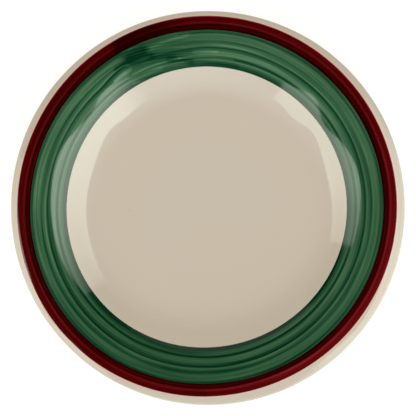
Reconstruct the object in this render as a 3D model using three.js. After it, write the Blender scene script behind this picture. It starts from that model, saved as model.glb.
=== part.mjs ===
// A china dinner plate with two hand-painted rings: its fired clay body, and the films of glaze and colour on it.
// Millimetres, +Z up. The origin is the centre of the foot ring, on the plane that the plate stands on.

import * as THREE from 'three';
import { ParametricGeometry } from 'three/addons/geometries/ParametricGeometry.js';

// ---- driving dimensions ----

const plateRadius = 133.5;

const wellRadius = 75; // the flat part that food lies on
const wellHeight = 7.8;

const coveRadius = 26.5; // the hollow curve where the well turns up into the wall
const wallSlope = THREE.MathUtils.degToRad(34);
const wallRun = 3.2; // the straight part of the wall, seen from above
const shoulderRadius = 56; // the long curve where the wall lies down into the rim
const rimSlope = THREE.MathUtils.degToRad(8);

const lipRun = 9; // from the crest of the rim out to its edge
const lipDrop = 3.2; // from the crest down to the edge
const lipReturn = 2.2; // from the edge back in to the underside
const lipUnder = 0.8; // from the edge down to the underside

const footRadius = 79; // outside of the foot ring
const footInnerRadius = 74.5;
const footFillet = 1.5; // the hollow curve at the root of the foot, inside and out
const footRound = 0.6; // the rounding of the bare clay that the plate stands on
const baseHeight = 3; // the underside of the well, inside the foot
const glazeLine = 1.1; // the height below which the glaze was wiped off the foot

const coat = 0.4; // thickness of the glaze and of the painted rings
const gap = 0.1; // play between a film and its neighbours

// The rings are painted by hand on a turntable, so each edge is a little off the plate's centre and a little oval,
// and it strays out and in three times round.
const greenInner = { radius: 95.2, x: -1.1, y: 0.4 };
const greenOuter = { radius: 119.65, x: -1.0, y: 0.6 };
const burgundyOuter = { radius: 128.75, x: -0.95, y: 1.0 };
const oval = 0.0045; // how much longer and shorter than its mean an edge's radius is
const ovalDirection = THREE.MathUtils.degToRad(52);
const stray = 0.36;
const strayDirection = THREE.MathUtils.degToRad(-15);

// ---- fineness of the facets ----

const turnSteps = 60;
const coveSteps = 4;
const shoulderSteps = 7;
const lipSteps = 6;
const returnSteps = 3;
const underShoulderSteps = 4;
const underCoveSteps = 3;
const filletSteps = 2;
const greenSteps = 7;
const burgundySteps = 4;
const paintEdgeSteps = 2;

// ---- the section of the finished plate ----
// A point of the section is its radius r and height z, with the outward normal (nr, nz) of the surface there.

const { sin, cos, tan, asin, acos, atan2, hypot, sqrt, PI } = Math;

const point = (r, z, nr, nz) => ({ r, z, nr, nz });

/** Values from start to end in equal steps, with both ends. */
const steps = (start, end, count) =>
  Array.from({ length: count + 1 }, (_, i) => start + ((end - start) * i) / count);

/** The point at an angle on a circle that has the clay inside it. */
function onBulge(centre, radius, angle) {
  const nr = cos(angle);
  const nz = sin(angle);
  return point(centre.r + radius * nr, centre.z + radius * nz, nr, nz);
}

/** The point at an angle on a circle that has the clay outside it. */
function onHollow(centre, radius, angle) {
  const { r, z, nr, nz } = onBulge(centre, radius, angle);
  return point(r, z, -nr, -nz);
}

/** The point at a parametric angle on an ellipse that has the clay inside it. */
function onEllipse(centre, run, drop, angle) {
  const nr = cos(angle) / run;
  const nz = sin(angle) / drop;
  const length = hypot(nr, nz);
  return point(centre.r + run * cos(angle), centre.z + drop * sin(angle), nr / length, nz / length);
}

/** How far from an ellipse's centre its tangent runs where it slopes like the rim. */
const tangentReach = (run, drop) => hypot(run * sin(rimSlope), drop * cos(rimSlope));

// Centres and joins of the face, from the well outwards.
const cove = { r: wellRadius, z: wellHeight + coveRadius };
const coveEnd = wellRadius + coveRadius * sin(wallSlope);
const wallEnd = coveEnd + wallRun;
const shoulder = {
  r: wallEnd + shoulderRadius * sin(wallSlope),
  z: cove.z + wallRun * tan(wallSlope) - (coveRadius + shoulderRadius) * cos(wallSlope),
};
const shoulderEnd = shoulder.r - shoulderRadius * sin(rimSlope);
const upperReach = tangentReach(lipRun, lipDrop);
const crest = plateRadius - lipRun;
const lip = {
  r: crest,
  z: shoulder.z + (shoulderRadius - upperReach + (crest - shoulder.r) * sin(rimSlope)) / cos(rimSlope),
};
const lipStart = crest - (lipRun * lipRun * sin(rimSlope)) / upperReach;

// The back runs parallel to the face, as far behind it as the lip makes the rim thick.
const underLip = { r: plateRadius - lipReturn, z: lip.z };
const thickness = upperReach + tangentReach(lipReturn, lipUnder) + (underLip.r - lip.r) * sin(rimSlope);
const underCoveRadius = coveRadius + thickness;
const outerFillet = { r: footRadius + footFillet };
outerFillet.z = cove.z - sqrt((underCoveRadius + footFillet) ** 2 - (outerFillet.r - cove.r) ** 2);
const innerFillet = { r: footInnerRadius - footFillet, z: baseHeight - footFillet };

/** The face of the plate at a radius. */
function face(r) {
  if (r <= wellRadius) return point(r, wellHeight, 0, 1);
  if (r <= coveEnd) return onHollow(cove, coveRadius, asin((r - cove.r) / coveRadius) - PI / 2);
  if (r <= wallEnd) {
    const z = cove.z - coveRadius * cos(wallSlope) + (r - coveEnd) * tan(wallSlope);
    return point(r, z, -sin(wallSlope), cos(wallSlope));
  }
  if (r <= shoulderEnd) return onBulge(shoulder, shoulderRadius, acos((r - shoulder.r) / shoulderRadius));
  if (r <= lipStart) {
    const z = shoulder.z + shoulderRadius * cos(rimSlope) + (r - shoulderEnd) * tan(rimSlope);
    return point(r, z, -sin(rimSlope), cos(rimSlope));
  }
  return onEllipse(lip, lipRun, lipDrop, acos((r - lip.r) / lipRun));
}

const well = [0, wellRadius].map(face);
const coveFace = steps(wellRadius, coveEnd, coveSteps).slice(1).map(face);
const shoulderFace = steps(wallEnd, shoulderEnd, shoulderSteps).map(face);
const lipStartAngle = acos((lipStart - lip.r) / lipRun);
const lipFace = steps(lipStartAngle, 0, lipSteps).map((angle) => onEllipse(lip, lipRun, lipDrop, angle));

// The back of the plate, from the edge of the lip inwards to where the glaze stops on the foot.
const returnEnd = atan2(-lipUnder * cos(rimSlope), lipReturn * sin(rimSlope));
const filletStart = atan2(cove.z - outerFillet.z, cove.r - outerFillet.r);
const back = [
  ...steps(0, returnEnd, returnSteps).slice(1).map((angle) => onEllipse(underLip, lipReturn, lipUnder, angle)),
  ...steps(PI / 2 + rimSlope, PI / 2 + wallSlope, underShoulderSteps)
    .map((angle) => onHollow(shoulder, shoulderRadius - thickness, angle)),
  ...steps(wallSlope - PI / 2, filletStart - PI, underCoveSteps)
    .map((angle) => onBulge(cove, underCoveRadius, angle)),
  ...steps(filletStart, PI, filletSteps).slice(1).map((angle) => onHollow(outerFillet, footFillet, angle)),
  point(footRadius, glazeLine, 1, 0),
];

// The underside inside the foot ring, from where the glaze starts to the centre.
const base = [
  point(footInnerRadius, glazeLine, -1, 0),
  ...steps(0, PI / 2, filletSteps).map((angle) => onHollow(innerFillet, footFillet, angle)),
  point(0, baseHeight, 0, -1),
];

// The bare clay of the foot, from its outside to its inside.
const clayFootOuter = footRadius - coat - gap - footRound;
const clayFootInner = footInnerRadius + coat + gap + footRound;
const bareFoot = [
  ...steps(0, -PI / 2, filletSteps).map((angle) => onBulge({ r: clayFootOuter, z: footRound }, footRound, angle)),
  ...steps(-PI / 2, -PI, filletSteps).map((angle) => onBulge({ r: clayFootInner, z: footRound }, footRound, angle)),
];

// ---- building the solids ----

/** A point sunk below the finished surface, never past the plate's axis. */
const sunk = ({ r, z, nr, nz }, depth) => new THREE.Vector2(Math.max(r - nr * depth, 0), z - nz * depth);

/** The radius of a painted ring's edge, measured from the plate's axis, in the direction phi. */
function edgeRadius({ radius, x, y }, phi) {
  const along = x * cos(phi) + y * sin(phi);
  const across = x * sin(phi) - y * cos(phi);
  const strayed = radius + stray * cos(3 * (phi - strayDirection));
  const stretched = strayed * (1 + oval * cos(2 * (phi - ovalDirection)));
  return along + sqrt(stretched ** 2 - across ** 2);
}

/** The closed outline of a film: along its inside, back over its outside, and round its first edge. */
function filmOutline(points) {
  return [...points.map((p) => sunk(p, coat)), ...points.map((p) => sunk(p, 0)).reverse(), sunk(points[0], coat)];
}

/** A film of glaze or colour, whose section may change round the plate. */
function film(sectionAt) {
  const outlines = steps(0, 2 * PI, turnSteps).map((phi) => ({ phi, outline: filmOutline(sectionAt(phi)) }));
  const outlineSteps = outlines[0].outline.length - 1;
  const place = (u, v, target) => {
    const { phi, outline } = outlines[Math.round(u * turnSteps)];
    const { x: r, y: z } = outline[Math.round(v * outlineSteps)];
    target.set(r * cos(phi), r * sin(phi), z);
  };
  return new ParametricGeometry(place, turnSteps, outlineSteps);
}

/** The clay, turned from one outline that starts and ends on the axis. */
function clay() {
  const glazed = (points) => points.map((p) => sunk(p, coat + gap));
  const outline = [
    ...glazed([...well, ...coveFace, ...shoulderFace, ...lipFace, ...back]),
    ...bareFoot.map((p) => sunk(p, 0)),
    ...glazed(base),
  ];
  return new THREE.LatheGeometry(outline.reverse(), turnSteps).rotateX(PI / 2);
}

const glazeMaterial = () => new THREE.MeshStandardMaterial({ color: 0xd9cfba, roughness: 0.12, metalness: 0 });

function part(name, geometry, material) {
  const mesh = new THREE.Mesh(geometry, material);
  mesh.name = name;
  return mesh;
}

const halfGap = gap / 2;

const clayBody = part(
  'clay_body',
  clay(),
  new THREE.MeshStandardMaterial({ color: 0xe6dccb, roughness: 0.85, metalness: 0 }),
);

const wellGlaze = part(
  'well_glaze',
  film((phi) => [...well, ...coveFace, face(wallEnd), face(edgeRadius(greenInner, phi) - halfGap)]),
  glazeMaterial(),
);

const greenBand = part(
  'green_band',
  film((phi) =>
    steps(edgeRadius(greenInner, phi) + halfGap, edgeRadius(greenOuter, phi) - halfGap, greenSteps).map(face),
  ),
  new THREE.MeshStandardMaterial({ color: 0x2f6546, roughness: 0.15, metalness: 0 }),
);

const burgundyBand = part(
  'burgundy_band',
  film((phi) =>
    steps(edgeRadius(greenOuter, phi) + halfGap, edgeRadius(burgundyOuter, phi) - halfGap, burgundySteps).map(face),
  ),
  new THREE.MeshStandardMaterial({ color: 0x5c050b, roughness: 0.15, metalness: 0 }),
);

// The lip's own facets start past the furthest point of the painted edge.
const furthestPaint = (burgundyOuter.radius + stray) * (1 + oval) + hypot(burgundyOuter.x, burgundyOuter.y);
const lipPastPaint = lipFace.filter((p) => p.r > furthestPaint);
const rimGlaze = part(
  'rim_glaze',
  film((phi) => [
    ...steps(edgeRadius(burgundyOuter, phi) + halfGap, lipPastPaint[0].r, paintEdgeSteps).map(face),
    ...lipPastPaint.slice(1),
    ...back,
  ]),
  glazeMaterial(),
);

const baseGlaze = part('base_glaze', film(() => base), glazeMaterial());

const plate = new THREE.Group();
plate.add(clayBody, wellGlaze, greenBand, burgundyBand, rimGlaze, baseGlaze);

export default plate;
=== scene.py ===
# The looks of a hand-painted china dinner plate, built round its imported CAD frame.
# Metres, +Z up, as in the frame.

import math
from collections import namedtuple

import bpy
import numpy as np
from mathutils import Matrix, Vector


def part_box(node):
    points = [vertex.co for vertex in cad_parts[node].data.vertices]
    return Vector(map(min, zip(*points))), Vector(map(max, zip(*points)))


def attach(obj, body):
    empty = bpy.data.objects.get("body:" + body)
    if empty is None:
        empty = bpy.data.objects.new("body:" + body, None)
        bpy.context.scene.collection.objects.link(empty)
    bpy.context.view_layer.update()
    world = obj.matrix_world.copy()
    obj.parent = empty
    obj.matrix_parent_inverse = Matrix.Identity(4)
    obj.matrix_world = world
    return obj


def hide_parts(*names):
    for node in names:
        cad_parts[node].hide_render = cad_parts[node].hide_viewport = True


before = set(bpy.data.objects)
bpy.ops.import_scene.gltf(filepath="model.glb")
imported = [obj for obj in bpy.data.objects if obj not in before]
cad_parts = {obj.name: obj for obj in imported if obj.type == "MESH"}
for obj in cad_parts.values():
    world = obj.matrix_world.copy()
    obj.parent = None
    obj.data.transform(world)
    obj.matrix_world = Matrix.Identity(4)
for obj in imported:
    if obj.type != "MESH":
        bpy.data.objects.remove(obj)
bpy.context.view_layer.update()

# ---- driving dimensions, in metres ----

MM = 0.001
COAT = 0.4 * MM  # thickness of the glaze and of the painted rings

PLATE_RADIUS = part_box("rim_glaze")[1].x
WELL_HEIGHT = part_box("well_glaze")[0].z + COAT
BASE_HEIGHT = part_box("base_glaze")[1].z - COAT
GLAZE_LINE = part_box("base_glaze")[0].z  # the height below which the glaze was wiped off the foot

WELL_RADIUS = 75 * MM
COVE_RADIUS = 26.5 * MM  # the hollow curve where the well turns up into the wall
WALL_SLOPE = math.radians(34)
WALL_RUN = 3.2 * MM  # the straight part of the wall, seen from above
SHOULDER_RADIUS = 56 * MM  # the long curve where the wall lies down into the rim
RIM_SLOPE = math.radians(8)
LIP_RUN = 9 * MM  # from the crest of the rim out to its edge
LIP_DROP = 3.2 * MM  # from the crest down to the edge
LIP_RETURN = 2.2 * MM  # from the edge back in to the underside
LIP_UNDER = 0.8 * MM  # from the edge down to the underside
PAST_PAINT = 131 * MM  # a little outside the outermost paint
FOOT_RADIUS = 79 * MM
FOOT_INNER_RADIUS = 74.5 * MM
FOOT_FILLET = 1.5 * MM  # the hollow curve at the root of the foot, inside and out
FOOT_ROUND = 0.6 * MM  # the rounding of the bare clay that the plate stands on

# The painted edges: each is a little off the plate's centre and a little oval,
# and strays out and in three times round.
PaintedEdge = namedtuple("PaintedEdge", "radius x y")
GREEN_INNER = PaintedEdge(95.2 * MM, -1.1 * MM, 0.4 * MM)
GREEN_OUTER = PaintedEdge(119.65 * MM, -1.0 * MM, 0.6 * MM)
BURGUNDY_OUTER = PaintedEdge(128.75 * MM, -0.95 * MM, 1.0 * MM)
OVAL = 0.0045  # how much longer and shorter than its mean an edge's radius is
OVAL_DIRECTION = math.radians(52)
STRAY = 0.36 * MM
STRAY_DIRECTION = math.radians(-15)

# What the hand and the kiln leave.
WARP = 0.25 * MM  # how far the fired rim is out of flat
GLAZE_LINE_WAVE = 0.12 * MM  # the wiped edge of the glaze runs a little up and down round the foot

TURN_STEPS = 360
FINE = 0.9 * MM  # spacing of the section's points where it curves
COARSE = 2.5 * MM  # and where it is flat
LIP_ARC = math.radians(4)  # the angle between the section's points round each of the small curves
UNDER_LIP_ARC = math.radians(9)
FILLET_ARC = math.radians(10)
FOOT_ARC = math.radians(15)
BEAD_ARC = math.radians(30)
EDGE_ROWS = np.array([0.4, 0.15, 0.05]) * MM  # close rows beside a painted edge keep its shading unbroken
WALL_ROWS = 3  # rows of faces from the wall's end to the green ring
GREEN_ROWS = 30
BURGUNDY_ROWS = 14
RIM_ROWS = 6  # from the burgundy ring to PAST_PAINT
SHARPEST_SMOOTH = math.radians(40)  # faces that meet at more than this keep a sharp edge between them

# ---- the section of the finished plate ----
# A point of the section is an array of four: radius, height, and the outward normal there.

TURN = np.linspace(0, 2 * math.pi, TURN_STEPS, endpoint=False)


def at(r, z, nr, nz):
    return np.stack(np.broadcast_arrays(r, z, nr, nz), axis=-1).astype(float)


def on_bulge(centre, radius, angle):
    """Points at these angles on a circle that has the clay inside it."""
    nr, nz = np.cos(angle), np.sin(angle)
    return at(centre[0] + radius * nr, centre[1] + radius * nz, nr, nz)


def on_hollow(centre, radius, angle):
    """Points at these angles on a circle that has the clay outside it."""
    return on_bulge(centre, radius, angle) * [1, 1, -1, -1]


def on_ellipse(centre, run, drop, angle):
    """Points at these parametric angles on an ellipse that has the clay inside it."""
    nr, nz = np.cos(angle) / run, np.sin(angle) / drop
    length = np.hypot(nr, nz)
    return at(centre[0] + run * np.cos(angle), centre[1] + drop * np.sin(angle), nr / length, nz / length)


def tangent_reach(run, drop):
    """How far from an ellipse's centre its tangent runs where it slopes like the rim."""
    return math.hypot(run * math.sin(RIM_SLOPE), drop * math.cos(RIM_SLOPE))


COVE = (WELL_RADIUS, WELL_HEIGHT + COVE_RADIUS)
COVE_END = WELL_RADIUS + COVE_RADIUS * math.sin(WALL_SLOPE)
WALL_END = COVE_END + WALL_RUN
SHOULDER = (
    WALL_END + SHOULDER_RADIUS * math.sin(WALL_SLOPE),
    COVE[1] + WALL_RUN * math.tan(WALL_SLOPE) - (COVE_RADIUS + SHOULDER_RADIUS) * math.cos(WALL_SLOPE),
)
SHOULDER_END = SHOULDER[0] - SHOULDER_RADIUS * math.sin(RIM_SLOPE)
UPPER_REACH = tangent_reach(LIP_RUN, LIP_DROP)
CREST = PLATE_RADIUS - LIP_RUN
LIP_ABOVE_SHOULDER = SHOULDER_RADIUS - UPPER_REACH + (CREST - SHOULDER[0]) * math.sin(RIM_SLOPE)
LIP = (CREST, SHOULDER[1] + LIP_ABOVE_SHOULDER / math.cos(RIM_SLOPE))
LIP_START = CREST - LIP_RUN**2 * math.sin(RIM_SLOPE) / UPPER_REACH

# The back runs parallel to the face.
UNDER_LIP = (PLATE_RADIUS - LIP_RETURN, LIP[1])
THICKNESS = UPPER_REACH + tangent_reach(LIP_RETURN, LIP_UNDER) + (UNDER_LIP[0] - CREST) * math.sin(RIM_SLOPE)
UNDER_COVE_RADIUS = COVE_RADIUS + THICKNESS
OUTER_FILLET_R = FOOT_RADIUS + FOOT_FILLET
OUTER_FILLET = (
    OUTER_FILLET_R,
    COVE[1] - math.sqrt((UNDER_COVE_RADIUS + FOOT_FILLET) ** 2 - (OUTER_FILLET_R - COVE[0]) ** 2),
)
INNER_FILLET = (FOOT_INNER_RADIUS - FOOT_FILLET, BASE_HEIGHT - FOOT_FILLET)


def face(r):
    """The face of the plate at these radii."""
    r = np.asarray(r, float)

    def angle_on(centre, radius, inverse):
        return inverse(np.clip((r - centre[0]) / radius, -1, 1))

    wall_z = COVE[1] - COVE_RADIUS * math.cos(WALL_SLOPE) + (r - COVE_END) * math.tan(WALL_SLOPE)
    rim_z = SHOULDER[1] + SHOULDER_RADIUS * math.cos(RIM_SLOPE) + (r - SHOULDER_END) * math.tan(RIM_SLOPE)
    zones = [
        (WELL_RADIUS, at(r, WELL_HEIGHT, 0, 1)),
        (COVE_END, on_hollow(COVE, COVE_RADIUS, angle_on(COVE, COVE_RADIUS, np.arcsin) - math.pi / 2)),
        (WALL_END, at(r, wall_z, -math.sin(WALL_SLOPE), math.cos(WALL_SLOPE))),
        (SHOULDER_END, on_bulge(SHOULDER, SHOULDER_RADIUS, angle_on(SHOULDER, SHOULDER_RADIUS, np.arccos))),
        (LIP_START, at(r, rim_z, -math.sin(RIM_SLOPE), math.cos(RIM_SLOPE))),
    ]
    lip = on_ellipse(LIP, LIP_RUN, LIP_DROP, angle_on(LIP, LIP_RUN, np.arccos))
    return np.select([(r <= end)[..., None] for end, _ in zones], [points for _, points in zones], lip)


def edge_radius(edge):
    """A painted edge's distance from the plate's axis, at each step of the turn."""
    along = edge.x * np.cos(TURN) + edge.y * np.sin(TURN)
    across = edge.x * np.sin(TURN) - edge.y * np.cos(TURN)
    strayed = edge.radius + STRAY * np.cos(3 * (TURN - STRAY_DIRECTION))
    stretched = strayed * (1 + OVAL * np.cos(2 * (TURN - OVAL_DIRECTION)))
    return along + np.sqrt(stretched**2 - across**2)


def spaced(start, end, pitch):
    """Values from start to end, both included, no further apart than pitch."""
    return np.linspace(start, end, max(2, math.ceil(abs(end - start) / pitch) + 1))


def across_paint(start, end, count, close_to_start, close_to_end):
    """Radii from start to end at each step of the turn, with close rows beside the painted edges."""
    start = np.broadcast_to(start, TURN.shape)[:, None]
    end = np.broadcast_to(end, TURN.shape)[:, None]
    first = np.concatenate([[0], EDGE_ROWS[::-1]]) if close_to_start else np.zeros(1)
    last = np.concatenate([EDGE_ROWS, [0]]) if close_to_end else np.zeros(1)
    middle = np.linspace(0, 1, count + 1)[None, 1:-1]
    low, high = start + first[-1], end - last[0]
    return np.concatenate([start + first, low + (high - low) * middle, end - last], axis=1)


def round_turn(points):
    """The same points at every step of the turn."""
    return np.broadcast_to(points, (TURN_STEPS, *points.shape))


def lip_edge():
    """From PAST_PAINT out over the lip to its edge."""
    lip_arc = spaced(math.acos((PAST_PAINT - LIP[0]) / LIP_RUN), 0, LIP_ARC)
    return on_ellipse(LIP, LIP_RUN, LIP_DROP, lip_arc)[1:]


def lip_and_back():
    """From the edge of the lip, under it and along the back to the foot, down to where the glaze stops."""
    return_end = math.atan2(-LIP_UNDER * math.cos(RIM_SLOPE), LIP_RETURN * math.sin(RIM_SLOPE))
    fillet_start = math.atan2(COVE[1] - OUTER_FILLET[1], COVE[0] - OUTER_FILLET[0])
    under_shoulder = SHOULDER_RADIUS - THICKNESS
    shoulder_arc = spaced(math.pi / 2 + RIM_SLOPE, math.pi / 2 + WALL_SLOPE, FINE / under_shoulder)
    cove_arc = spaced(WALL_SLOPE - math.pi / 2, fillet_start - math.pi, FINE / UNDER_COVE_RADIUS)
    fillet_arc = spaced(fillet_start, math.pi, FINE / FOOT_FILLET / 4)
    return np.concatenate([
        on_ellipse(UNDER_LIP, LIP_RETURN, LIP_UNDER, spaced(0, return_end, UNDER_LIP_ARC))[1:],
        on_hollow(SHOULDER, under_shoulder, shoulder_arc),
        on_bulge(COVE, UNDER_COVE_RADIUS, cove_arc),
        on_hollow(OUTER_FILLET, FOOT_FILLET, fillet_arc)[1:],
    ])


def foot_to_axis():
    """The hollow curve inside the foot, and the flat underside of the well from there to the axis."""
    fillet = on_hollow(INNER_FILLET, FOOT_FILLET, spaced(0, math.pi / 2, FILLET_ARC))
    under = at(spaced(INNER_FILLET[0], 0, COARSE)[1:], BASE_HEIGHT, 0, -1)
    return fillet, under


def glaze_end(radius, outward):
    """The rounded bead where the glaze stops on the foot, wandering a little up and down round the turn.
    Outward is 1 on the outside of the foot and -1 on its inside."""
    wave = GLAZE_LINE_WAVE * (0.6 * np.cos(3 * TURN + 1.0) + 0.4 * np.cos(8 * TURN + 2.5 * outward))
    bead = spaced(0, -math.pi / 2, BEAD_ARC)
    centre = (radius - outward * COAT, GLAZE_LINE + COAT)
    points = on_bulge((0, 0), COAT, bead) * [outward, 1, outward, 1] + [centre[0], centre[1], 0, 0]
    points = round_turn(points).copy()
    points[..., 1] += wave[:, None]
    return points


# ---- building the skins ----


def lift(r, turn):
    """How far the finished piece stands above its turned shape: the rim warps a little in the kiln."""
    reach = np.clip((r - FOOT_RADIUS) / (PLATE_RADIUS - FOOT_RADIUS), 0, 1) ** 2
    return WARP * reach * (0.7 * np.cos(2 * turn + 0.6) + 0.3 * np.cos(3 * turn + 2.0) - 0.4)


def sunk(points):
    """The surface one coat below these points of the section."""
    inside = points[..., :2] - points[..., 2:] * COAT
    inside[..., 0] = np.maximum(inside[..., 0], 0)
    return inside


def film(points):
    """The closed outline of a film: its outside, and back along its inside, one coat below."""
    return np.concatenate([points[..., :2], sunk(points)[..., ::-1, :]], axis=1)


def skin(name, outline, shown, material, node, top_scale=1.0):
    """A closed piece from its outline at each step of the turn.
    Shown is the range of the outline's points that lie on the piece's outside."""
    count = outline.shape[1]
    r, z = outline[..., 0], outline[..., 1]
    turn = TURN[:, None]
    places = np.stack([r * np.cos(turn), r * np.sin(turn), z + lift(r, turn)], axis=-1)

    # On the axis every step of the turn shares one vertex.
    number = np.arange(TURN_STEPS * count).reshape(TURN_STEPS, count)
    on_axis = r[0] < 1e-9
    number[:, on_axis] = number[0, on_axis]
    used, number = np.unique(number, return_inverse=True)
    number = number.reshape(TURN_STEPS, count)

    faces, chart = [], []
    for step in range(TURN_STEPS):
        next_step = (step + 1) % TURN_STEPS
        for row in range(count):
            next_row = (row + 1) % count
            corners = [(step, row), (step, next_row), (next_step, next_row), (next_step, row)]
            loop = list(dict.fromkeys(number[corner] for corner in corners))
            if len(loop) < 3:
                continue
            corner_of = {number[corner]: corner for corner in reversed(corners)}
            faces.append([int(vertex) for vertex in loop])
            outside = shown[0] <= row < next_row < shown[1]
            below = z[0, row] < z[0, 0] - COAT
            chart.extend(chart_place(places[corner_of[vertex]], outside, below, top_scale) for vertex in loop)

    mesh = bpy.data.meshes.new(name)
    mesh.from_pydata(places.reshape(-1, 3)[used].tolist(), [], faces)
    layer = mesh.uv_layers.new(name="OFBake")
    layer.data.foreach_set("uv", np.array(chart, np.float32).ravel())
    mesh.shade_smooth()
    mesh.set_sharp_from_angle(angle=SHARPEST_SMOOTH)
    mesh.materials.append(material)
    piece = bpy.data.objects.new(name, mesh)
    bpy.context.scene.collection.objects.link(piece)
    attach(piece, "root")
    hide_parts(node)


CHART_SCALE = 0.49  # the plate's radius on the chart, whose side is 1
HIDDEN_SCALE = 0.02  # the same for the hidden inside of a piece
HIDDEN_CENTRE = 0.03  # and where the axis lies there, from the chart's corner


def chart_place(place, outside, below, top_scale):
    """Where a point lies on the piece's flat chart: seen from above, or from below for what lies underneath,
    with the hidden inside shrunk into a corner."""
    x, y = place[0] / PLATE_RADIUS, place[1] / PLATE_RADIUS
    if not outside:
        return HIDDEN_CENTRE + HIDDEN_SCALE * x, HIDDEN_CENTRE + HIDDEN_SCALE * y
    if below:
        return 0.5 + CHART_SCALE * x, 0.5 - CHART_SCALE * y
    return 0.5 + CHART_SCALE * top_scale * x, 0.5 + CHART_SCALE * top_scale * y


# ---- materials ----


class Field:
    """A number or colour that varies over a surface: an output of a material's nodes.
    Arithmetic on fields adds nodes."""

    def __init__(self, tree, socket):
        self.tree = tree
        self.socket = socket

    def maths(self, operation, *others):
        node = self.tree.nodes.new("ShaderNodeMath")
        node.operation = operation
        for socket, value in zip(node.inputs, (self, *others)):
            plug(self.tree, value, socket)
        return Field(self.tree, node.outputs[0])

    def __add__(self, other):
        return self.maths("ADD", other)

    def __sub__(self, other):
        return self.maths("SUBTRACT", other)

    def __rsub__(self, other):
        return (self * -1) + other

    def __mul__(self, other):
        return self.maths("MULTIPLY", other)

    def __truediv__(self, other):
        return self.maths("DIVIDE", other)

    __radd__ = __add__
    __rmul__ = __mul__


def plug(tree, value, socket):
    if isinstance(value, Field):
        tree.links.new(value.socket, socket)
    else:
        socket.default_value = value


def add_node(tree, kind, inputs, settings=None):
    """A new node with these inputs, each a number, a colour or a field, and these settings."""
    node = tree.nodes.new(kind)
    for key, value in (settings or {}).items():
        setattr(node, key, value)
    for key, value in inputs.items():
        plug(tree, value, node.inputs[key])
    return node


def ease(value, start, end):
    """0 before start and 1 after end, turning smoothly; with start above end it falls instead."""
    inputs = {"Value": value, "From Min": start, "From Max": end}
    node = add_node(value.tree, "ShaderNodeMapRange", inputs, {"interpolation_type": "SMOOTHSTEP"})
    return Field(value.tree, node.outputs[0])


def band(value, start, end, soft):
    """1 between start and end, with soft edges centred on them."""
    return ease(value, start - soft / 2, start + soft / 2) * ease(value, end + soft / 2, end - soft / 2)


def noise(tree, place, scale, detail=2.0, roughness=0.5):
    """Noise from -1 to 1, about evenly round 0, with as many waves to each unit of place as scale says.
    Detail is how often it is laid over itself at half the size, and roughness how strong those layers are."""
    inputs = {"Vector": place, "Scale": scale, "Detail": detail, "Roughness": roughness}
    node = add_node(tree, "ShaderNodeTexNoise", inputs)
    return Field(tree, node.outputs["Fac"]) * 2 - 1


def combine(tree, x, y, z):
    node = add_node(tree, "ShaderNodeCombineXYZ", {"X": x, "Y": y, "Z": z})
    return Field(tree, node.outputs[0])


def ramp(value, stops, interpolation="LINEAR"):
    """A colour that runs through these stops of (value, colour)."""
    low, high = stops[0][0], stops[-1][0]
    node = add_node(value.tree, "ShaderNodeValToRGB", {"Fac": (value - low) / (high - low)})
    node.color_ramp.interpolation = interpolation
    elements = node.color_ramp.elements
    while len(elements) < len(stops):
        elements.new(1.0)
    for element, (stop, colour) in zip(elements, stops):
        element.position = (stop - low) / (high - low)
        element.color = (*colour, 1)
    return Field(value.tree, node.outputs[0])


def curve(value, stops):
    """A number that runs smoothly through these stops of (value, number)."""
    numbers = [number for _, number in stops]
    low, high = min(numbers), max(numbers)
    greys = [(stop, ((number - low) / (high - low),) * 3) for stop, number in stops]
    return ramp(value, greys, "CARDINAL") * (high - low) + low


def mix(factor, a, b):
    """The colour a where factor is 0, turning to b where it is 1."""
    node = factor.tree.nodes.new("ShaderNodeMix")
    node.data_type = "RGBA"
    plug(factor.tree, factor, node.inputs[0])
    for socket, colour in ((node.inputs[6], a), (node.inputs[7], b)):
        plug(factor.tree, colour if isinstance(colour, Field) else (*colour, 1), socket)
    return Field(factor.tree, node.outputs[2])


def new_material(name):
    material = bpy.data.materials.new(name)
    material.use_nodes = True
    return material, material.node_tree, material.node_tree.nodes["Principled BSDF"]


def position_mm(tree):
    """X, Y and Z in the row frame, in millimetres, and the same as one vector."""
    coordinates = add_node(tree, "ShaderNodeTexCoord", {})
    inputs = {0: Field(tree, coordinates.outputs["Object"]), "Scale": 1 / MM}
    scaled = add_node(tree, "ShaderNodeVectorMath", inputs, {"operation": "SCALE"})
    split = add_node(tree, "ShaderNodeSeparateXYZ", {0: Field(tree, scaled.outputs[0])})
    return [Field(tree, output) for output in split.outputs] + [Field(tree, scaled.outputs[0])]


def bump(tree, height, distance_mm):
    """A normal from a height field of -1 to 1 that stands for this many millimetres."""
    node = add_node(tree, "ShaderNodeBump", {"Height": height, "Strength": 1.0, "Distance": distance_mm * MM})
    return Field(tree, node.outputs[0])


IOR = 1.5
PEEL_DEPTH = 0.006  # of the glaze's orange peel, in millimetres
CLOCK = math.degrees(1)  # radians to degrees


def finish_glaze(tree, shader, colour, place, roughness, specular):
    """The gloss that lies over everything: nearly smooth, with the faint orange peel of a dipped glaze."""
    peel = noise(tree, place, 0.22, 1.0) * 0.7 + noise(tree, place, 0.8, 1.0) * 0.3
    plug(tree, colour, shader.inputs["Base Color"])
    plug(tree, noise(tree, place, 0.05, 3.0) * 0.015 + roughness, shader.inputs["Roughness"])
    plug(tree, bump(tree, peel, PEEL_DEPTH), shader.inputs["Normal"])
    shader.inputs["IOR"].default_value = IOR
    shader.inputs["Specular IOR Level"].default_value = specular


CREAM = (0.56, 0.497, 0.395)
WARM_CREAM = (0.585, 0.505, 0.4)
MOTTLE = (0.45, 0.39, 0.3)
OUTER_WELL_CREAM = (0.61, 0.501, 0.407)
# a lighter, whiter cream painted over the wall of the well: painted light for the light that falls on the
# wall
PAINTED_LIT_CREAM = (0.594, 0.543, 0.446)
CLAY_TINT = (0.532, 0.455, 0.355)
FINE_SPECK = (0.2, 0.15, 0.1)
LARGE_SPECK = (0.22, 0.17, 0.12)

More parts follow.
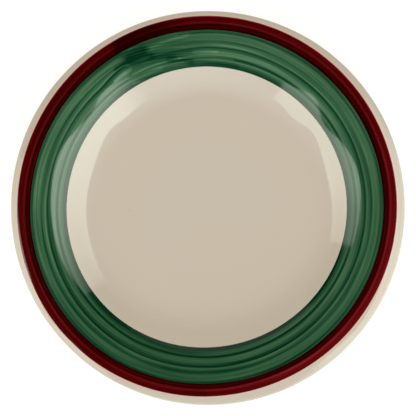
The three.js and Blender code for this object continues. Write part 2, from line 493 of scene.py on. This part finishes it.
# Between which distances from the plate's axis, in millimetres, the cream glaze changes.
WELL_WARMS = (40.0, 65.0)
# over these distances the cream is painted lighter and whiter, for the light that falls on the wall of the
# well
WALL_PAINTED_LIGHT = (79.5, 84.0)
UNDER_THE_GREEN = (110.0, 100.0)  # where those two changes end
LIP_THINS = (127.0, 131.0)

# Single specks in the cream glaze: where each lies, its size and how dark it is.
# Places and sizes in millimetres.
Speck = namedtuple("Speck", "x y size strength")
SPECKS = [Speck(-53.2, -1.6, 0.55, 0.5), Speck(117.2, 62.4, 0.8, 0.45)]


def cream_glaze():
    material, tree, shader = new_material("cream_glaze")
    x, y, _, place = position_mm(tree)
    colour = mix(noise(tree, place, 0.012, 2.0) * 0.5 + 0.5, CREAM, WARM_CREAM)
    mottle = noise(tree, place, 0.25, 3.0) * 0.5 + 0.5
    colour = mix(mottle * 0.05, colour, MOTTLE)

    # Towards the wall of the well the cream turns a little warmer. Over the wall it turns whiter: that is
    # painted light, standing in for the light that falls on the wall.
    from_axis = (x * x + y * y).maths("SQRT")
    inside_rim = ease(from_axis, *UNDER_THE_GREEN) * 0.3
    colour = mix(ease(from_axis, *WELL_WARMS) * inside_rim, colour, OUTER_WELL_CREAM)
    colour = mix(ease(from_axis, *WALL_PAINTED_LIGHT) * inside_rim, colour, PAINTED_LIT_CREAM)

    # Where the glaze has run thin over the lip the clay tints it.
    colour = mix(ease(from_axis, *LIP_THINS) * 0.9, colour, CLAY_TINT)

    # Fine iron specks, thinly strewn: each cell of about 8 mm may have one near its middle, but few have.
    cells = add_node(tree, "ShaderNodeTexVoronoi", {"Vector": place, "Scale": 0.12})
    distance = Field(tree, cells.outputs["Distance"])
    chosen = add_node(tree, "ShaderNodeSeparateColor", {0: Field(tree, cells.outputs["Color"])})
    rare = ease(Field(tree, chosen.outputs[0]), 0.82, 0.9)
    strewn = ease(distance, 0.045, 0.02) * rare * 0.25
    colour = mix(strewn, colour, FINE_SPECK)

    # The specks that stand out.
    for speck in SPECKS:
        away = ((x - speck.x).maths("POWER", 2.0) + (y - speck.y).maths("POWER", 2.0)).maths("SQRT")
        colour = mix(ease(away, speck.size, speck.size * 0.3) * speck.strength, colour, LARGE_SPECK)
    finish_glaze(tree, shader, colour, place, roughness=0.07, specular=0.5)
    return material


def ring_coordinates(tree, centre):
    """Distance from a painted ring's own centre in millimetres, as if it weren't oval, and the clock angle.
    The clock angle is in degrees from +Y towards +X, from -180 to 180."""
    x, y, _, place = position_mm(tree)
    x, y = x - centre[0], y - centre[1]
    distance = (x * x + y * y).maths("SQRT")
    turn = x.maths("ARCTAN2", y)
    clock_of_oval = math.pi / 2 - OVAL_DIRECTION
    stretch = ((turn - clock_of_oval) * 2).maths("COSINE") * OVAL + 1
    return distance / stretch, turn * CLOCK, place


def brushwork(tree, radius, turn, strength):
    """Bristle marks: noise drawn out along the turn, in three widths of mark. Each is (how many waves long
    the turn's own radius is, waves to a millimetre across the turn, share)."""
    angle = turn / CLOCK
    east, north = angle.maths("SINE"), angle.maths("COSINE")
    marks = 0
    for along, across, share in ((1.4, 0.4, 0.3), (1.9, 1.1, 0.4), (3.0, 2.5, 0.5)):
        place = combine(tree, east * along, north * along, radius * across)
        marks = noise(tree, place, 1.0, 2.0) * (share * strength) + marks
    return marks


def dab(turn, radius, start, end, width):
    """1 along a touch of the brush, fading to 0 beside it. Start and end are its (clock angle, distance from
    the ring's centre), and width is its half-width in millimetres."""
    arc = math.radians(1) * (start[1] + end[1]) / 2
    run, rise = (end[0] - start[0]) * arc, end[1] - start[1]
    u, v = (turn - start[0]) * arc, radius - start[1]
    along = ((u * run + v * rise) / (run**2 + rise**2)).maths("MAXIMUM", 0.0).maths("MINIMUM", 1.0)
    off_u, off_v = u - along * run, v - along * rise
    return ease((off_u * off_u + off_v * off_v).maths("SQRT"), width * 1.25, width * 0.1)


PAINT_ROUGHNESS = 0.08
PAINT_SPECULAR = 0.59
GREEN_CENTRE = (-1.04, 0.57)  # what the green strokes were brushed round, in millimetres
BURGUNDY_CENTRE = (-0.97, 0.85)

# Tone across a painted ring, by distance from its centre in millimetres:
# 0 where the paint lies thick, 1 where thin.
GREEN_STROKES = [
    (94.5, 0.05), (96.5, 0.06), (97.1, 0.14), (97.8, 0.4), (98.7, 0.52), (99.5, 0.74), (99.9, 0.72),
    (100.5, 0.42), (101.1, 0.06), (101.5, 0.06), (102.1, 0.52), (102.8, 0.8), (103.8, 0.76), (104.7, 0.76),
    (105.4, 0.6), (106.2, 0.44), (107.1, 0.28), (107.7, 0.08), (108.1, 0.24), (108.7, 0.7), (109.2, 0.82),
    (109.9, 0.6), (111.0, 0.42), (111.9, 0.36), (112.7, 0.6), (113.4, 0.74), (115.2, 0.62), (116.7, 0.7),
    (117.4, 0.46), (118.2, 0.24), (119.0, 0.34), (120.4, 0.3),
]
BURGUNDY_STROKES = [
    (119.4, 0.02), (120.2, 0.06), (120.8, 0.18), (121.4, 0.34), (121.9, 0.24), (122.5, 0.14), (123.1, 0.24),
    (123.8, 0.62), (124.3, 0.74), (125.0, 0.56), (125.9, 0.44), (127.2, 0.46),
]

# How far the strokes stray outwards, by clock angle: the painter's hand moved as the wheel turned.
GREEN_WANDER = [
    (-180, 0.4), (-150, 0.95), (-128, 0.8), (-100, 0.3), (-75, 0.0), (-50, -0.1), (-35, 0.1), (-12, -0.2),
    (0, 0.3), (18, 0.0), (38, -0.35), (70, -0.1), (120, 0.05), (150, -0.1), (180, 0.4),
]
BURGUNDY_WANDER = [
    (-180, -0.2), (-160, 0.15), (-130, 0.1), (-100, -0.2), (-75, -0.6), (-50, -0.75), (-33, 0.2), (-10, 0.5),
    (20, 0.1), (55, 0.0), (85, 0.25), (112, 0.5), (132, 0.3), (152, -0.35), (168, -0.5), (180, -0.2),
]

# How much thinner the green lies, by clock angle: the brush was loaded before each pass.
GREEN_LOAD = [
    (-180, -0.13), (-130, -0.1), (-100, 0.08), (-75, 0.13), (-45, 0.13), (-25, 0.06), (10, 0.14), (40, 0.07),
    (75, 0.03), (105, 0.03), (135, -0.01), (165, -0.08), (180, -0.13),
]

# Between which clock angles the painter's work changes. Each lap is where a ring was begun and ended:
# it sets in over the first pair of angles and has faded out over the second.
GREEN_LAP = (-32.0, -29.0), (8.0, -16.0)
GREEN_SWING = (-43.0, -31.0), (-28.0, -31.0)
BURGUNDY_LAP = (-31.2, -29.6), (-2.0, -20.0)
BURGUNDY_THINS = 86.0, 176.0
BURGUNDY_THICKENS = -70.0, -25.0
SWING_REACH = 2.6  # in millimetres
LAP_LEAD = 0.28  # how far the bristle marks lead inwards in the green lap, in millimetres to a degree

# Colour by tone.
GREEN_TONES = [
    (0.0, (0.0012, 0.024, 0.0075)), (0.12, (0.0025, 0.034, 0.0115)), (0.38, (0.0115, 0.06, 0.0255)),
    (0.72, (0.043, 0.12, 0.054)), (1.1, (0.115, 0.22, 0.115)), (1.5, (0.26, 0.34, 0.23)),
]
BURGUNDY_TONES = [
    (-0.1, (0.008, 0.0001, 0.0001)), (0.1, (0.016, 0.0001, 0.0001)), (0.4, (0.054, 0.0005, 0.0006)),
    (0.75, (0.12, 0.003, 0.004)), (1.0, (0.185, 0.011, 0.015)), (1.3, (0.26, 0.03, 0.035)),
]
BLED_RED = (0.33, 0.012, 0.03)

# Touches of the brush where the green ring begins and ends, over the strokes that are there:
# start and end, each a (clock angle, distance from the ring's centre), half-width, and the tone added.
Touch = namedtuple("Touch", "start end width tone")
GREEN_TOUCHES = [
    Touch((-27.5, 114.0), (-22.0, 114.3), 4.2, -0.48),
    Touch((-33.5, 112.4), (-27.0, 112.6), 1.8, -0.4),
    Touch((-27.0, 110.6), (-20.0, 109.4), 3.2, -0.22),
    Touch((-20.0, 108.5), (-13.0, 103.6), 3.6, -0.16),
    Touch((-14.0, 103.2), (-6.0, 99.4), 3.0, -0.24),
    Touch((-6.0, 98.8), (12.0, 97.6), 2.2, -0.14),
    Touch((-9.0, 118.2), (2.0, 117.8), 1.0, -0.12),
    Touch((-36.0, 105.8), (-29.0, 106.8), 1.8, 0.3),
    Touch((-30.0, 98.6), (-18.0, 99.4), 2.2, 0.22),
    Touch((-19.0, 114.4), (-6.0, 117.2), 1.4, 0.22),
    Touch((-5.0, 105.4), (4.0, 105.2), 1.2, 0.25),
    Touch((-31.0, 101.8), (-9.0, 99.6), 0.8, 0.28),
    Touch((-29.0, 103.1), (-10.0, 102.4), 0.9, 0.36),
    Touch((-10.0, 102.4), (10.0, 101.2), 0.8, 0.28),
]


def green_paint():
    material, tree, shader = new_material("green_paint")
    radius, turn, place = ring_coordinates(tree, GREEN_CENTRE)
    lap, swing = (ease(turn, *sets_in) * ease(turn, *fades) for sets_in, fades in (GREEN_LAP, GREEN_SWING))

    # The middle strokes swing outwards to meet the lap.
    brushed = radius - curve(turn, GREEN_WANDER) - swing * band(radius, 105.5, 112.0, 4.0) * SWING_REACH

    # The paint has flowed together a little, so the strokes are softer than they were laid.
    tone = curve(brushed, GREEN_STROKES) * 0.86 + 0.07 + curve(turn, GREEN_LOAD)

    # In the lap the strokes run together, and the bristle marks lead inwards.
    tone = tone * (1 - lap * 0.7) + lap * 0.28
    leading_in = brushwork(tree, radius + (turn + 12) * LAP_LEAD, turn, 0.85)
    tone = tone + brushwork(tree, brushed, turn, 0.72) * (1 - lap) + leading_in * lap

    # The ends of each touch are frayed by the bristles.
    frayed = brushwork(tree, radius, turn, 1.4)
    for touch in GREEN_TOUCHES:
        touched = dab(turn + frayed * 1.5, radius + frayed * 0.4, touch.start, touch.end, touch.width)
        tone = tone + touched * touch.tone
    colour = ramp(tone.maths("MAXIMUM", 0.02), GREEN_TONES)
    finish_glaze(tree, shader, colour, place, PAINT_ROUGHNESS, PAINT_SPECULAR)
    return material


def burgundy_paint():
    material, tree, shader = new_material("burgundy_paint")
    radius, turn, place = ring_coordinates(tree, BURGUNDY_CENTRE)
    brushed = radius - curve(turn, BURGUNDY_WANDER)
    tone = curve(brushed, BURGUNDY_STROKES) + brushwork(tree, brushed, turn, 0.6)

    # The outer strokes lie thinner at the lower right, and all of them thicker at the upper left.
    tone = tone + band(turn, *BURGUNDY_THINS, 50.0) * ease(radius, 122.0, 124.0) * 0.21
    tone = tone - band(turn, *BURGUNDY_THICKENS, 36.0) * 0.11

    # The lap lies much thicker, with a ragged edge where the brush was set down.
    set_down, lifted = BURGUNDY_LAP
    lap = ease(turn + noise(tree, place, 0.5, 2.0) * 1.5, *set_down) * ease(turn, *lifted)
    tone = tone * (1 - lap * 0.62)

    # At its outer edge the red has bled a little into the cream.
    stray = (turn * (3 / CLOCK) - 3 * (math.pi / 2 - STRAY_DIRECTION)).maths("COSINE") * (STRAY / MM)
    edge = ease(radius - stray + noise(tree, place, 0.4, 2.0) * 0.12, 128.05, 128.6)
    colour = mix(edge * (1 - lap * 0.6), ramp(tone, BURGUNDY_TONES), BLED_RED)
    finish_glaze(tree, shader, colour, place, PAINT_ROUGHNESS, PAINT_SPECULAR)
    return material


LIGHT_BISCUIT = (0.66, 0.58, 0.46)
DARK_BISCUIT = (0.52, 0.44, 0.33)
WORN_BISCUIT = (0.36, 0.32, 0.27)
GRIT_DEPTH = 0.08  # in millimetres
WEAR_HEIGHT = 0.25  # how far up the foot it is worn, in millimetres


def biscuit():
    """Bare fired clay on the foot: dry and gritty, greyed where it has slid on tables."""
    material, tree, shader = new_material("biscuit")
    _, _, z, place = position_mm(tree)
    grit = noise(tree, place, 2.5, 4.0, 0.7)
    colour = mix(grit * 0.5 + 0.5, DARK_BISCUIT, LIGHT_BISCUIT)
    worn = ease(z, WEAR_HEIGHT, 0.02) * (noise(tree, place, 0.3, 3.0) * 0.5 + 0.5)
    colour = mix(worn * 0.6, colour, WORN_BISCUIT)
    plug(tree, colour, shader.inputs["Base Color"])
    plug(tree, grit * 0.06 + 0.85, shader.inputs["Roughness"])
    plug(tree, bump(tree, grit, GRIT_DEPTH), shader.inputs["Normal"])
    return material


# ---- the pieces ----


def build_glazes(glaze, green, burgundy):
    """The films that lie on the face, and the cream ones that run on over the lip and under the plate."""
    inner, middle, outer = (edge_radius(edge) for edge in (GREEN_INNER, GREEN_OUTER, BURGUNDY_OUTER))

    well_radii = np.concatenate([spaced(0, WELL_RADIUS, COARSE), spaced(WELL_RADIUS, WALL_END, FINE)[1:-1]])
    wall_radii = across_paint(WALL_END, inner, WALL_ROWS, False, True)
    well = face(np.concatenate([round_turn(well_radii), wall_radii], axis=1))
    skin("well_glaze", film(well), (0, well.shape[1]), glaze, "well_glaze")

    ring = face(across_paint(inner, middle, GREEN_ROWS, True, True))
    skin("green_band", film(ring), (0, ring.shape[1]), green, "green_band")

    ring = face(across_paint(middle, outer, BURGUNDY_ROWS, True, True))
    skin("burgundy_band", film(ring), (0, ring.shape[1]), burgundy, "burgundy_band")

    rim_parts = [
        face(across_paint(outer, PAST_PAINT, RIM_ROWS, True, False)),
        round_turn(lip_edge()),
        round_turn(lip_and_back()[:-1]),
        glaze_end(FOOT_RADIUS, 1),
    ]
    rim = np.concatenate(rim_parts, axis=1)
    skin("rim_glaze", film(rim), (0, rim.shape[1]), glaze, "rim_glaze", top_scale=0.5)

    fillet, under = foot_to_axis()
    base_parts = [glaze_end(FOOT_INNER_RADIUS, -1)[:, ::-1], round_turn(fillet[1:]), round_turn(under)]
    base = np.concatenate(base_parts, axis=1)
    skin("base_glaze", film(base), (0, base.shape[1]), glaze, "base_glaze")


def build_body(clay):
    """The clay under the films, which shows only where the foot is bare."""
    face_radii = np.concatenate([spaced(0, WELL_RADIUS, COARSE), spaced(WELL_RADIUS, PAST_PAINT, FINE)[1:]])
    glazed = np.concatenate([face(face_radii), lip_edge(), lip_and_back()])
    outer_foot = FOOT_RADIUS - COAT - FOOT_ROUND
    inner_foot = FOOT_INNER_RADIUS + COAT + FOOT_ROUND
    quarter = spaced(0, -math.pi / 2, FOOT_ARC)
    bare = np.concatenate([
        on_bulge((outer_foot, FOOT_ROUND), FOOT_ROUND, quarter),
        on_bulge((inner_foot, FOOT_ROUND), FOOT_ROUND, quarter - math.pi / 2),
    ])
    outline = np.concatenate([sunk(glazed), bare[:, :2], sunk(np.concatenate(foot_to_axis()))])
    foot = (len(glazed), len(glazed) + len(bare))
    skin("clay_body", round_turn(outline), foot, clay, "clay_body")


# ---- the studio ----

CAMERA_HEIGHT = 2.5
VIEW_HALF_WIDTH = 140.72 * MM  # to each side of the picture's centre, at the height of the rim
LIGHT_COLOUR = (0.97, 1.06, 0.91, 1)
LIGHT_WALL = 0.34  # from the plate's axis to each wall of the light tent
WALL_SEEN_FROM = 0.1  # the reflecting shoulder lies this far on the other side of the axis
WALL_FOOT = 68.5  # the zenith angle of each wall's lower edge, seen from there, in degrees
LIP_LIGHT = 0.14  # from the plate's axis to the low strips of light that the lip reflects
LIP_LIGHT_FOOT = 0.005
LIP_LIGHT_TOP = 0.0295
FLOOR_REACH = 6.0
FLOOR_COLOUR = (0.3, 0.3, 0.3, 1)
FLOOR_GLOW = 0.77  # what brings the floor up to white
BACKGROUND = (0.86, 0.86, 0.86)


def smooth_through(xs, ys, x):
    """A smooth curve through the points of xs and ys, at x."""
    xs, ys = np.array(xs, float), np.array(ys, float)
    tangent = np.gradient(ys, xs)
    i = np.clip(np.searchsorted(xs, x) - 1, 0, len(xs) - 2)
    width = xs[i + 1] - xs[i]
    t = (x - xs[i]) / width
    return (
        (2 * t**3 - 3 * t**2 + 1) * ys[i]
        + (t**3 - 2 * t**2 + t) * width * tangent[i]
        + (3 * t**2 - 2 * t**3) * ys[i + 1]
        + (t**3 - t**2) * width * tangent[i + 1]
    )


def glowing():
    """Light as strong as each point's "glow"."""
    material = bpy.data.materials.new("light_wall")
    material.use_nodes = True
    tree = material.node_tree
    tree.nodes.remove(tree.nodes["Principled BSDF"])
    glow = add_node(tree, "ShaderNodeAttribute", {}, {"attribute_name": "glow"})
    inputs = {"Color": LIGHT_COLOUR, "Strength": Field(tree, glow.outputs["Fac"])}
    emission = add_node(tree, "ShaderNodeEmission", inputs)
    tree.links.new(emission.outputs[0], tree.nodes["Material Output"].inputs["Surface"])
    return material


def light_sheet(name, clocks, glow, distance, bottom, top, material):
    """A standing sheet of light, seen only in the gloss, with its glow at each clock angle. Its distance from
    the plate's axis and the heights of its edges are each one number or a number for each clock angle."""
    turn = np.radians(clocks)
    x, y = distance * np.sin(turn), distance * np.cos(turn)
    edges = [np.stack(np.broadcast_arrays(x, y, z), axis=1) for z in (bottom, top)]
    count = len(clocks)
    faces = [(i, i + 1, count + i + 1, count + i) for i in range(count - 1)]
    mesh = bpy.data.meshes.new(name)
    mesh.from_pydata(np.concatenate(edges).tolist(), [], faces)
    glows = mesh.attributes.new("glow", "FLOAT", "POINT")
    glows.data.foreach_set("value", np.tile(glow, 2).astype(np.float32))
    mesh.materials.append(material)
    sheet = bpy.data.objects.new(name, mesh)
    bpy.context.scene.collection.objects.link(sheet)
    sheet.visible_camera = sheet.visible_diffuse = sheet.visible_shadow = False


def light_wall(name, toward, skyline, material):
    """One flat lit wall of the tent, on the side of the plate that lies toward this clock angle.
    Its skyline is a list of (clock angle, zenith angle of its top edge, brightness)."""
    corner_clocks, corner_zeniths, corner_glows = zip(*skyline)
    clocks = np.arange(corner_clocks[0], corner_clocks[-1] + 0.5, 1.0)
    zeniths = smooth_through(corner_clocks, corner_zeniths, clocks)
    glow = np.interp(clocks, corner_clocks, corner_glows)
    distance = LIGHT_WALL / np.cos(np.radians(clocks - toward))
    seen_from = distance + WALL_SEEN_FROM
    bottom, top = (seen_from / np.tan(np.radians(zenith)) for zenith in (WALL_FOOT, zeniths))
    light_sheet(name, clocks, glow, distance, bottom, top, material)


def lip_light(name, brightness, material):
    """A low strip of light beside the plate, curved round it, with its brightness by clock angle."""
    clocks = np.arange(brightness[0][0], brightness[-1][0] + 0.5, 1.0)
    glow = np.interp(clocks, *zip(*brightness))
    light_sheet(name, clocks, glow, LIP_LIGHT, LIP_LIGHT_FOOT, LIP_LIGHT_TOP, material)


RIGHT_SKYLINE = [
    (55, 44.0, 1.19), (62, 40.0, 1.7), (70, 37.0, 2.38), (82, 35.0, 2.98), (95, 33.2, 3.57),
    (106, 31.6, 3.74), (112, 32.4, 3.7), (117, 36.3, 3.7), (123, 41.3, 3.68), (128, 43.4, 3.68),
    (132, 41.5, 3.66), (136, 35.8, 3.5), (140, 34.5, 3.2), (144, 37.0, 2.4), (148, 40.0, 1.2),
    (152, 44.0, 0.2),
]
LEFT_SKYLINE = [
    (211, 49.0, 2.21), (217, 45.5, 2.46), (221, 39.5, 2.63), (225, 39.0, 2.8), (228, 45.5, 2.8),
    (232, 53.0, 2.89), (237, 54.0, 3.06), (242, 48.0, 3.23), (248, 42.0, 3.4), (254, 38.3, 3.4),
    (262, 38.3, 3.06), (270, 40.8, 2.38), (278, 43.0, 2.04), (285, 46.0, 1.78),
]
FAR_SKYLINE = [(-47, 52.0, 0.25), (0, 52.0, 0.4), (16, 52.0, 0.45), (33, 52.0, 0.25)]

# Brightness by clock angle. At the upper right it is held back: seen from low in front, the rim would glare.
RIGHT_LIP_LIGHT = [
    (30, 0.0), (50, 0.5), (64, 0.9), (78, 3.6), (100, 3.9), (130, 3.2), (150, 1.2), (158, 0.0),
]
LEFT_LIP_LIGHT = [(205, 0.0), (222, 1.6), (245, 3.2), (265, 3.0), (285, 1.6), (300, 0.6), (310, 0.0)]

# The soft light that fills the tent: a warm white dome,
# and a cooler and brighter part of it low in the foreground.
DOME_LIGHT = (0.935, 0.914, 0.872)
NEAR_LIGHT = (6.4, 7.5, 9.2)
NEAR_LIGHT_FROM = (0.243, -0.908, 0.342)
NEAR_LIGHT_FALLOFF = 30.0


def build_tent():
    """The sheets of light that show in the gloss."""
    lit = glowing()
    light_wall("light_wall_right", 90, RIGHT_SKYLINE, lit)
    light_wall("light_wall_left", 270, LEFT_SKYLINE, lit)
    light_wall("light_wall_far", 0, FAR_SKYLINE, lit)
    lip_light("lip_light_right", RIGHT_LIP_LIGHT, lit)
    lip_light("lip_light_left", LEFT_LIP_LIGHT, lit)


def build_world():
    """The soft light from all round. The gloss doesn't show it, and the camera sees a plain background."""
    world = bpy.data.worlds.new("studio")
    world.use_nodes = True
    world.cycles_visibility.glossy = False
    tree = world.node_tree
    direction = Field(tree, add_node(tree, "ShaderNodeTexCoord", {}).outputs["Generated"])
    inputs = {0: direction, 1: NEAR_LIGHT_FROM}
    facing = add_node(tree, "ShaderNodeVectorMath", inputs, {"operation": "DOT_PRODUCT"})
    near = Field(tree, facing.outputs["Value"]).maths("MAXIMUM", 0.0).maths("POWER", NEAR_LIGHT_FALLOFF)
    inputs = {0: near, 1: NEAR_LIGHT, 2: DOME_LIGHT}
    light = add_node(tree, "ShaderNodeVectorMath", inputs, {"operation": "MULTIPLY_ADD"})
    seen = Field(tree, add_node(tree, "ShaderNodeLightPath", {}).outputs["Is Camera Ray"])
    colour = mix(seen, Field(tree, light.outputs[0]), BACKGROUND)
    plug(tree, colour, tree.nodes["Background"].inputs["Color"])
    bpy.context.scene.world = world


def build_floor():
    mesh = bpy.data.meshes.new("floor")
    corners = [(x * FLOOR_REACH, y * FLOOR_REACH, 0) for x, y in ((-1, -1), (1, -1), (1, 1), (-1, 1))]
    mesh.from_pydata(corners, [], [(0, 1, 2, 3)])
    material, _, shader = new_material("pale_floor")
    shader.inputs["Base Color"].default_value = FLOOR_COLOUR
    shader.inputs["Roughness"].default_value = 1.0
    shader.inputs["Specular IOR Level"].default_value = 0.0
    shader.inputs["Emission Color"].default_value = (1, 1, 1, 1)
    shader.inputs["Emission Strength"].default_value = FLOOR_GLOW
    mesh.materials.append(material)
    floor = bpy.data.objects.new("floor", mesh)
    bpy.context.scene.collection.objects.link(floor)


def build_camera():
    """Straight above the plate, as in the photo. A new camera looks down."""
    camera_data = bpy.data.cameras.new("camera")
    rim_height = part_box("burgundy_band")[1].z
    camera_data.lens = camera_data.sensor_width / 2 * (CAMERA_HEIGHT - rim_height) / VIEW_HALF_WIDTH
    camera = bpy.data.objects.new("camera", camera_data)
    camera.location = (0, 0, CAMERA_HEIGHT)
    bpy.context.scene.collection.objects.link(camera)
    bpy.context.scene.camera = camera


build_glazes(cream_glaze(), green_paint(), burgundy_paint())
build_body(biscuit())

bpy.context.scene.view_settings.view_transform = "Standard"
build_tent()
build_world()
build_floor()
build_camera()
